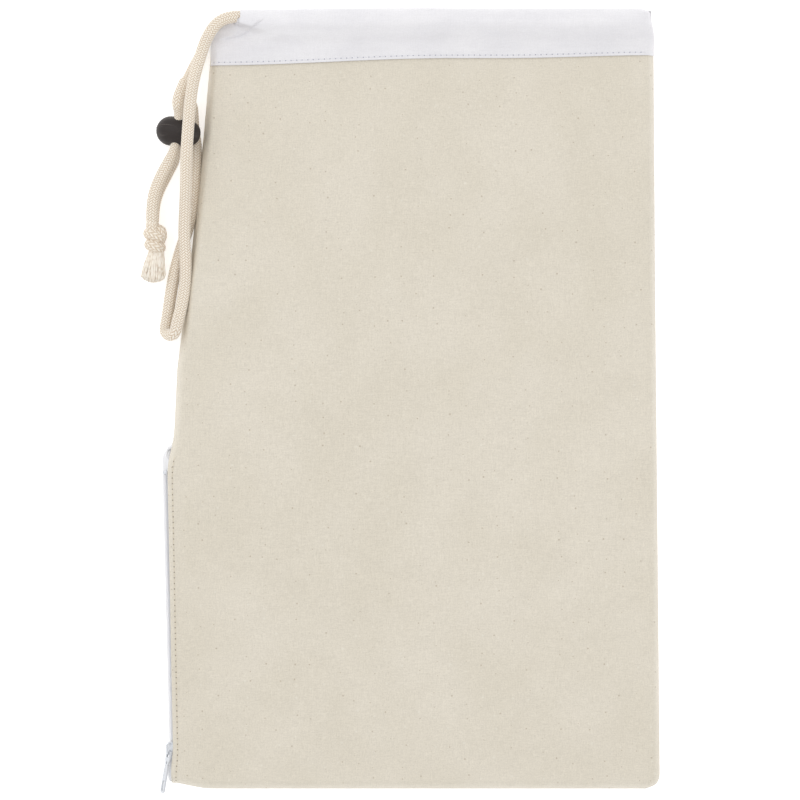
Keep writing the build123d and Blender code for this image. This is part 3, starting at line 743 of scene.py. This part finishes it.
def crowded(count, amount):
    """Numbers from 0 to 1, closer together towards both ends."""
    even = np.linspace(0, 1, count)
    return even - amount * np.sin(2 * math.pi * even) / (2 * math.pi)


def cloth_grid():
    """X and Y of the front's points, closer together towards the edges."""
    u, v = np.meshgrid(crowded(COLUMNS + 1, 0.45), crowded(ROWS + 1, 0.35))
    y_middle = FOOT_Y + (CANVAS_TOP_Y - FOOT_Y) * v
    x = left_x(y_middle) + (right_x(y_middle) - left_x(y_middle)) * u
    y = foot_y(x) + (CANVAS_TOP_Y - foot_y(x)) * v
    return x, y


def settle(name, points, pinned, frames=24, slack=0.0035, limit=1.6 * MM):
    """Runs cloth on a pinned grid that is a little too large for its frame, and returns how far each
    point moves up or down, with a limit."""
    sheet = make_grid(name, points, None)
    group = sheet.vertex_groups.new(name="pins")
    group.add([int(i) for i in np.flatnonzero(pinned)], 1.0, "REPLACE")
    cloth = sheet.modifiers.new("cloth", "CLOTH")
    for setting, value in dict(
        quality=5, mass=0.0002, tension_stiffness=18, compression_stiffness=18, shear_stiffness=8,
        bending_stiffness=0.4, vertex_group_mass="pins", shrink_min=-slack, shrink_max=-slack,
    ).items():
        setattr(cloth.settings, setting, value)
    cloth.settings.effector_weights.gravity = 0.0
    cloth.collision_settings.use_collision = False
    cloth.point_cache.frame_start, cloth.point_cache.frame_end = 1, frames
    scene = bpy.context.scene
    for number in range(1, frames + 1):
        scene.frame_set(number)
    settled = sheet.evaluated_get(bpy.context.evaluated_depsgraph_get()).to_mesh()
    after = np.array([v.co.z for v in settled.vertices]).reshape(pinned.shape)
    scene.frame_set(1)
    bpy.data.objects.remove(sheet)
    moved = after - points[:, :, 2]
    return limit * np.tanh(moved / limit)


def make_front_canvas(material):
    x, y = cloth_grid()
    z = canvas_z(x, y)
    pinned = np.ones(x.shape, bool)
    pinned[2:-5, 2:-2] = False
    near_edge = np.minimum(x - left_x(y), np.minimum(right_x(y) - x, y - foot_y(x)))
    loose = smooth(near_edge, 0, 18 * MM) * (1 - smooth(y, LAP_Y - 16 * MM, LAP_Y - 4 * MM))
    seed = 0.35 * MM * ripple(x, y, 46 * MM, 2.3) + 0.12 * MM * ripple(x, y, 17 * MM, 9.1)
    z = z + seed * loose
    z = z + settle("front_settling", np.stack([x, y, z], axis=-1), pinned) * loose
    z = z + crease_height(x, y) * smooth(near_edge, 0, 4 * MM)
    # The left edge is turned under: down round the fold, then back in below the front
    hem = []
    for inward, down in ((7.0, 1.25), (4.0, 1.2), (1.0, 1.1), (0.1, 0.8), (-0.18, 0.4)):
        hem_z = np.maximum(z[:, 0] - down * MM, 0.75 * MM)
        hem.append(np.stack([x[:, 0] + inward * MM, y[:, 0], hem_z], axis=-1))
    cloth = np.concatenate([np.stack(hem, axis=1), np.stack([x, y, z], axis=-1)], axis=1)
    piece = make_grid("front_canvas", cloth, material)
    finer = piece.modifiers.new("finer", "SUBSURF")
    finer.levels = finer.render_levels = 1
    thicken(piece, CANVAS, -1)
    give(piece, ["front_panel"])
    return piece


def make_back_canvas(material):
    u, v = np.meshgrid(crowded(90, 0.6), np.linspace(0, 1, 150))
    top_y = BACK_HIGH.y
    y_middle = FOOT_Y + (top_y - FOOT_Y) * v
    left = left_x(y_middle) + 0.3 * MM
    x = left + (right_x(y_middle) - left) * u
    y = foot_y(x) + (top_y - foot_y(x)) * v
    edge = np.minimum(x - left, np.minimum(right_x(y_middle) - x, y - foot_y(x)))
    lift = 0.35 * MM * (1 - smooth(edge, 0, 3 * MM))
    z = 0.32 * MM + lift + 0.2 * MM * np.maximum(ripple(x, y, 60 * MM, 5.0), 0)
    piece = make_grid("back_canvas", np.stack([x, y, z], axis=-1), material)
    thicken(piece, CANVAS, 0)
    give(piece, ["back_panel"])
    return piece


# ---- Header band ----

BAND_LEFT_X = BAND_LOW.x + 0.3 * MM
BAND_RIGHT_X = BAND_HIGH.x + 0.3 * MM
FRONT_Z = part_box("drawcord_channel_run")[1].z - CORD_R
BACK_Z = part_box("drawcord_channel_run")[0].z + CORD_R
BAND_TOP_Y = BAND_HIGH.y + 0.6 * MM
BAND_INSIDE_TOP_Y = LAP_Y + 28.4 * MM
TURN_FROM_X, TURN_TO_X = 96 * MM, 108 * MM  # where the cord begins to turn at the right-hand fold


def lip_y(x):
    """Y of the band's lower edge: it was sewn on a little askew."""
    left_rise, right_rise = smooth(x, BAND_LEFT_X, 20 * MM), smooth(x, 50 * MM, BAND_RIGHT_X)
    return LAP_Y - 3.2 * MM + 4.2 * MM * left_rise + 1.7 * MM * right_rise


def mouth_x(y):
    """X of the band's left edge: it curves in to the channel's mouth at the top."""
    corner_y = LAP_Y + np.array([8.0, 12.0, 15.5, 18.5, 21.0, 22.5, 24.5]) * MM
    corner_x = BAND_LEFT_X + np.array([0.0, 0.8, 2.8, 6.2, 10.5, 13.5, 17.2]) * MM
    return np.interp(y, corner_y, corner_x)


def band_right(y):
    """X of the right-hand fold, which leans in towards the top and turns in at its corner."""
    lean = 2.3 * MM * smooth(y, LAP_Y + 12 * MM, BAND_TOP_Y)
    return BAND_RIGHT_X - lean - 7.0 * MM * smooth(y, BAND_TOP_Y - 2.6 * MM, BAND_TOP_Y + 1.4 * MM)


# Each half of the folded band: millimetres up from the lap, and out from the channel's middle.
# Both go over the channel: the front's from its lower edge, the back's towards it
FRONT_SECTION = [
    (0.0, -2.75), (1.2, -2.62), (2.1, -2.85), (3.2, -2.5), (6.0, -2.0), (10.5, -0.6), (15.0, 1.6),
    (19.4, 3.3), (23.0, 4.15), (26.5, 4.2), (28.8, 2.6), (29.6, 0.0), (28.6, -2.6), (25.0, -4.05),
    (19.0, -4.2), (12.0, -4.15), (6.0, -4.1), (1.5, -4.05),
]
BACK_SECTION = [
    (6.5, 3.75), (10.0, 3.9), (15.0, 4.0), (20.0, 4.05), (25.0, 4.1), (28.4, 2.7), (29.4, 0.0),
    (28.6, -2.6), (25.5, -4.1), (20.5, -4.0), (15.0, -1.6), (10.0, 1.0), (6.0, 2.55), (3.0, 2.85),
    (0.3, 2.9),
]
BAND_STATIONS, SECTION_STATIONS, SECTION_PASSES = 260, 120, 10


def section_points(section):
    """A smooth line near a section's points, which are in millimetres."""
    values = np.array(section, float)
    line = sampled(values, np.linspace(0, distances(values)[-1], SECTION_STATIONS))
    for _ in range(SECTION_PASSES):
        line[1:-1] = 0.25 * line[:-2] + 0.5 * line[1:-1] + 0.25 * line[2:]
    return line * MM


def lapped_fold(x, y):
    """The height of a fold of cloth that laps over itself below the cord's way out."""
    crease_x = CHANNEL_MOUTH_X + np.array([-14.0, -8.0, -2.3, 1.5, 4.6, 8.5, 12.5]) * MM
    crease_y = LAP_Y + np.array([11.8, 13.0, 14.2, 15.9, 18.0, 21.2, 23.6]) * MM
    over = y - np.interp(x, crease_x, crease_y)
    span = smooth(x, crease_x[0] - 1 * MM, crease_x[1]) * (1 - smooth(x, crease_x[5], crease_x[6]))
    lapped = smooth(over, -0.45 * MM, 0.45 * MM) * np.exp(-np.maximum(over, 0) / (2.6 * MM))
    groove = np.exp(-((over + 0.9 * MM) / (0.8 * MM)) ** 2)
    return (1.25 * lapped - 0.35 * groove) * MM * span


def band_folds(x, y, up):
    """The height of the band's soft folds, which are stronger near the cord's way out."""
    upright, level = ripple(x * 1.6, y * 0.55, 9 * MM, 3.0), ripple(x * 0.3, y * 1.7, 9 * MM, 6.0)
    near_mouth = 1 - smooth(x, CHANNEL_MOUTH_X, CHANNEL_MOUTH_X + 45 * MM)
    strength = (0.7 + 0.9 * near_mouth) * smooth(up, 3 * MM, 8 * MM)
    strength = strength * (1 - 0.6 * smooth(up, 21 * MM, 25 * MM))
    return (0.35 * MM * upright + 0.45 * MM * level) * strength


def beside_mouth(x, up):
    """1 left of the cord's way out, where the band lies flat under the cord, and 0 in the channel."""
    mouth = CHANNEL_MOUTH_X - 3.0 * MM * smooth(up, 19 * MM, 21.5 * MM)
    opening = mouth + 1 * MM + 17 * MM * (1 - smooth(up, 14 * MM, 21.5 * MM))
    return (1 - smooth(x, mouth - 2 * MM, opening)) * smooth(up, 1 * MM, 9 * MM)


def make_band(name, node, front, material):
    section = section_points(FRONT_SECTION if front else BACK_SECTION)
    level = FRONT_Z if front else BACK_Z
    side = 1 if front else -1
    share, height = np.meshgrid(crowded(BAND_STATIONS, 0.7), section[:, 1], indexing="ij")
    up = np.broadcast_to(section[:, 0], share.shape)
    y = LAP_Y + up
    x = mouth_x(y) + (band_right(y) - mouth_x(y)) * share
    low_part = 1 - smooth(up, 0, 12 * MM)
    to_left = 1 - smooth(x, CHANNEL_MOUTH_X, -10 * MM)
    peep = 0.0 if front else 1.3 * MM * (1 - smooth(x, 10 * MM, 70 * MM))
    y = y + (lip_y(x) - LAP_Y) * low_part + (peep - 0.8 * MM * to_left) * smooth(up, 19 * MM, 27 * MM)
    folds = band_folds(x, y, up)
    if front:
        folds = folds + lapped_fold(x, y)
        outer = smooth(height, -4.0 * MM, -2.4 * MM)
        flat_z = np.where(outer < 0.5, level - 5.6 * MM, level - 3.8 * MM + 1.3 * folds)
    else:
        outer = smooth(height, -2.0 * MM, 2.0 * MM)
        flat_z = np.where(height > 0, 0.45 * MM, 1.1 * MM)
    flat = beside_mouth(x, up)
    z = (level + side * (height + folds * outer)) * (1 - flat) + flat_z * flat
    # Near the right-hand fold the halves' inner walls lie together, round the turn of the cord
    meet = (FRONT_Z + BACK_Z) / 2
    inner = smooth(x, TURN_FROM_X, TURN_TO_X) * smooth(-height, 2.0 * MM, 3.6 * MM)
    z = z + (meet + side * 0.35 * MM - z) * inner * smooth(up, 12 * MM, 20 * MM)
    y = y + (BAND_INSIDE_TOP_Y - y) * inner * smooth(up, 21 * MM, 24 * MM)
    # Both halves turn to meet at the right-hand fold, and the front's foot follows the side seam down
    low_level = meet - (meet - 1.6 * MM) * low_part
    z = low_level + (z - low_level) * rounded(band_right(y) - x, 7 * MM)
    if front:
        cloth_z = canvas_z(np.minimum(x, right_x(y) - 0.2 * MM), np.minimum(y, LAP_Y))
        hug = low_part * outer
        z = z * (1 - hug) + (cloth_z + 0.75 * MM + height - FRONT_SECTION[0][1] * MM) * hug
        below = np.minimum(z, cloth_z - CANVAS - 0.45 * MM)
        z = np.where((outer < 0.5) & (up < 14 * MM), below, z)
    points = np.stack([x, y, np.maximum(z, 0.3 * MM)], axis=-1)
    piece = make_grid(name, points, material)
    thicken(piece, BAND, 0)
    give(piece, [node])
    return piece


# ---- Stitching ----


def on_top(piece, x, y):
    """Points on the top of a piece's finished surface."""
    bpy.context.view_layer.update()
    solid = piece.evaluated_get(bpy.context.evaluated_depsgraph_get())
    down = Vector((0, 0, -1))
    found = []
    for a, b in zip(x, y):
        hit, place, _, _ = solid.ray_cast(Vector((a, b, 0.1)), down)
        if hit:
            found.append((a, b, place.z))
    return np.array(found)


def stitch_row(line, lift=0.16 * MM, sink=0.28 * MM):
    """Short threads along a line of points, each rising between two needle holes."""
    count = int(distances(line)[-1] / STITCH)
    bow = np.sin(np.linspace(0, math.pi, 7)) ** 0.6
    threads = []
    for number in range(count):
        points = sampled(line, np.linspace(number + 0.12, number + 0.88, 7) * STITCH)
        points[:, 2] += (sink + lift) * bow - sink
        threads.append(points)
    return threads, sampled(line, np.arange(count) * STITCH)


def make_holes(name, holes, material, radius):
    """Needle holes: small cups set in the cloth, with a raised lip, coloured dark as painted shade."""
    vertices, faces, around = [], [], 8
    angles = 2 * math.pi * np.arange(around) / around
    rim = radius * np.stack([np.cos(angles), np.sin(angles), np.zeros(around)], axis=1)
    up = np.array([0, 0, 0.01 * MM])
    cup = np.concatenate([rim + 13 * up, 0.6 * rim + 8 * up, [-12 * up]])
    for number, hole in enumerate(holes):
        base = number * len(cup)
        vertices += list(hole + cup)
        for k in range(around):
            after = (k + 1) % around
            faces.append((base + k, base + after, base + around + after, base + around + k))
            faces.append((base + around + k, base + around + after, base + 2 * around))
    return give(make_object(name, vertices, faces, material))


def make_stitches(front, band, white, beige):
    """The band's and the zip's rows: on top, with their needle holes, and inside the back."""
    band_x = np.linspace(BAND_LEFT_X + 2 * MM, BAND_RIGHT_X - 2.5 * MM, 300)
    zip_y = np.linspace(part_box("zip_stitch_front")[0].y - 0.5 * MM, ZIP_HEAD_Y + 7 * MM, 200)
    band_low, band_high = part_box("header_stitch_back")
    zip_low, zip_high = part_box("zip_stitch_back")
    back_x = np.linspace(band_low.x, band_high.x, 200)
    back_y = np.linspace(zip_low.y, zip_high.y, 160)
    # The needle holes' colours below are painted shade, darker than the cloth round them.
    for name, node, top, x, y, z, radius, thread, slot, hole_radius, dark in (
        ("band", "header_stitch", on_top(band, band_x, lip_y(band_x) + 1.75 * MM),
         back_x, np.full(200, middle("header_stitch_back").y), band_low.z, 0.2 * MM, white, "thread",
         0.34 * MM, hole_material("band_hole_painted_shade", (0.28, 0.29, 0.36), (0.42, 0.43, 0.5))),
        ("zip", "zip_stitch", on_top(front, left_x(zip_y) + 2.7 * MM, zip_y),
         chain_x(back_y) + 6.0 * MM, back_y, zip_low.z, 0.21 * MM, beige, "canvas_thread",
         0.36 * MM, hole_material("canvas_hole_painted_shade", (0.15, 0.12, 0.08), (0.26, 0.21, 0.15))),
    ):
        threads, holes = stitch_row(top)
        give(tubes(f"{name}_stitches", threads, radius, thread), [f"{node}_front"])
        make_holes(f"{name}_needle_holes", holes, dark, hole_radius)
        threads, _ = stitch_row(np.stack([x, y, np.full(len(x), z + 0.1 * MM)], axis=1))
        give(tubes(f"{name}_stitches_inside", threads, radius, thread), [f"{node}_back"])


# ---- Seams inside the bag ----


def seam_lines():
    """The three sewn edges, from one end to the other, on the table plane."""
    y = np.linspace(-12 * MM, LAP_Y - 5 * MM, 60)
    left = np.stack([np.interp(y, LEFT_Y, LEFT_X), y], axis=1)
    y = np.linspace(-208 * MM, LAP_Y - 5 * MM, 100)
    right = np.stack([right_x(y), y], axis=1)
    x = np.linspace(-80 * MM, 124 * MM, 60)
    foot = np.stack([x, foot_y(x)], axis=1)
    return {"left": (left, (1, 0)), "right": (right, (-1, 0)), "foot": (foot, (0, 1))}


def make_allowances(material, thread):
    threads = []
    for name, (edge, inward) in seam_lines().items():
        inward = np.array(inward, float)
        strips = []
        for step in np.linspace(2.2 * MM, 12.4 * MM, 8):
            flat = edge + inward * step
            wave = 0.12 * MM * ripple(flat[:, 0], flat[:, 1], 14 * MM, 4.0)
            strips.append(np.column_stack([flat, 1.25 * MM + wave]))
        piece = make_grid(f"{name}_turned_in_edge", np.stack(strips, axis=1), material)
        thicken(piece, 0.5 * MM, 0)
        give(piece, [f"{name}_seam_allowance"])
        line = np.column_stack([edge + inward * 4.7 * MM, np.full(len(edge), 1.7 * MM)])
        threads += stitch_row(line)[0]
    give(tubes("seam_stitches", threads, 0.2 * MM, thread), ["seam_threads"])


# ---- Zip ----

TILT = math.radians(35)
ACROSS = np.array([math.sin(TILT), 0, math.cos(TILT)])
OUTWARD = np.array([-math.cos(TILT), 0, math.sin(TILT)])
CHAIN_Z = 4.6 * MM
UNDER_HEM = 1.75 * MM
TAPE_FOOT_Y = (-219.5 * MM, -221 * MM)  # front and back
FREE_Y = (-208.5 * MM, -204.5 * MM)  # below the slider the tapes' ends are free
TAB_Y, TAB_REACH = -213.5 * MM, 7.8 * MM
TAB_BULGE = (1.9 * MM, 3.1 * MM)  # front and back
COIL_PITCH, COIL_STEPS, COIL_WIRE_R = 1.15 * MM, 12, 0.19 * MM


def tape_end(y):
    """How far the tape turns in towards the seam above the zip's head."""
    return 6.0 * MM * smooth(y, ZIP_HEAD_Y + 7 * MM, ZIP_HEAD_Y + 20 * MM)


def make_tape(name, node, front, material):
    foot, bulge = (pair[0 if front else 1] for pair in (TAPE_FOOT_Y, TAB_BULGE))
    y = np.linspace(foot, ZIP_HEAD_Y + 19 * MM, 170)
    sinking = 3.3 * MM * smooth(y, ZIP_HEAD_Y + 3 * MM, ZIP_HEAD_Y + 17 * MM)
    centre = np.stack([chain_x(np.minimum(y, ZIP_HEAD_Y)) + tape_end(y), y, CHAIN_Z - sinking], axis=1)
    level = canvas_z(left_x(y) + 5 * MM, y) - UNDER_HEM if front else np.full(len(y), 1.0 * MM)
    level = np.minimum(level, canvas_z(centre[:, 0] + 2 * MM, y) - UNDER_HEM)
    reach = (level - centre[:, 2]) / ACROSS[2]
    free = 1 - smooth(y, *FREE_Y)
    apart = 0.4 * MM * (1 - smooth(y, ZIP_HEAD_Y - 3.5 * MM, ZIP_HEAD_Y - 1 * MM))
    start = apart if front else bulge * free - apart
    rows = []
    for share in np.linspace(0, 1, 7):
        across = start + (reach * 0.93 - start) * share
        rows.append(centre + ACROSS * across[:, None])
    corner = centre + ACROSS * reach[:, None]
    for inward in (0.7, 1.6, 3.5, 6.0, 9.0, 12.5):
        point = corner + np.array([inward * MM, 0, 0])
        if front:
            point[:, 2] = np.minimum(level, canvas_z(point[:, 0], y) - UNDER_HEM) - 0.12 * inward * MM
        else:
            point[:, 2] = level
        rows.append(point)
    points = np.stack(rows, axis=1)
    ceiling = canvas_z(left_x(y) + 0.2 * MM, y) - UNDER_HEM
    points[:, :, 2] = np.minimum(points[:, :, 2], np.maximum(ceiling, 1.0 * MM)[:, None])
    # The free ends swell outwards into a rounded tab
    swell = bulge * free * np.sqrt(np.clip(1 - ((y - TAB_Y) / TAB_REACH) ** 2, 0, 1))
    points[:, :, 0] -= swell[:, None] * np.linspace(1, 0, points.shape[1])[None, :]
    piece = make_grid(name, points, material)
    thicken(piece, 0.5 * MM, 0)
    give(piece, [node])
    return piece


def make_coil(name, node, side, material):
    """One continuous nylon wire, wound in flat loops along the tape's edge."""
    low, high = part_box(node)
    turns = int((high.y - low.y) / COIL_PITCH)
    angle = np.linspace(0, 2 * math.pi * turns, turns * COIL_STEPS + 1)
    y = low.y + 0.3 * MM + angle / (2 * math.pi) * COIL_PITCH + (COIL_PITCH / 2 if side < 0 else 0)
    across = side * (0.93 * MM - 0.72 * MM * np.cos(angle))
    outward = 0.82 * MM + 0.38 * MM * np.sin(angle)
    line = np.stack([chain_x(y), y, np.full(len(y), CHAIN_Z)], axis=1)
    line = line + ACROSS * across[:, None] + OUTWARD * outward[:, None]
    return give(tubes(name, [line], COIL_WIRE_R, material), [node])


# ---- Everything in order ----

make_camera()
make_lights()

braid = cord_material()
cords = make_cords(braid)
knot = make_knot(braid)
tails = make_tails(braid)

canvas = canvas_material()
front = make_front_canvas(canvas)
make_back_canvas(canvas)
bleached = band_material()
front_band = make_band("front_band", "header_front", True, bleached)
make_band("back_band", "header_back", False, bleached)
white_thread = thread_material("white_thread", (0.72, 0.72, 0.76), (0.86, 0.86, 0.88))
beige_thread = thread_material("beige_thread", (0.62, 0.55, 0.42), (0.78, 0.72, 0.6))
make_stitches(front, front_band, white_thread, beige_thread)
make_allowances(canvas, white_thread)
tape = tape_material()
make_tape("front_tape", "zip_tape_front", True, tape)
make_tape("back_tape", "zip_tape_back", False, tape)
nylon = nylon_material()
make_coil("front_coil", "zip_coil_front", 1, nylon)
make_coil("back_coil", "zip_coil_back", -1, nylon)

metal, steel = metal_material(), steel_material()
plastic = plastic_material("matt_black_plastic", 0.55, (0.058, 0.048, 0.044))
# The mould line's ridge is painted lighter nearly all over, as a highlight where it catches the light.
make_lock_seam(plastic_material("mould_line_highlight_plastic", 0.15, (0.082, 0.068, 0.062)))
for node, finish in (("zip_slider", metal), ("zip_pull", metal), ("zip_stop_head", metal),
                     ("zip_stop_foot", metal), ("lock_barrel", plastic), ("lock_plunger", plastic),
                     ("lock_spring", steel)):
    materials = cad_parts[node].data.materials
    materials.clear()
    materials.append(finish)

floor = make_object("floor", [(-3, -3, -0.0003), (3, -3, -0.0003), (3, 3, -0.0003), (-3, 3, -0.0003)],
                    [(0, 1, 2, 3)], floor_material())
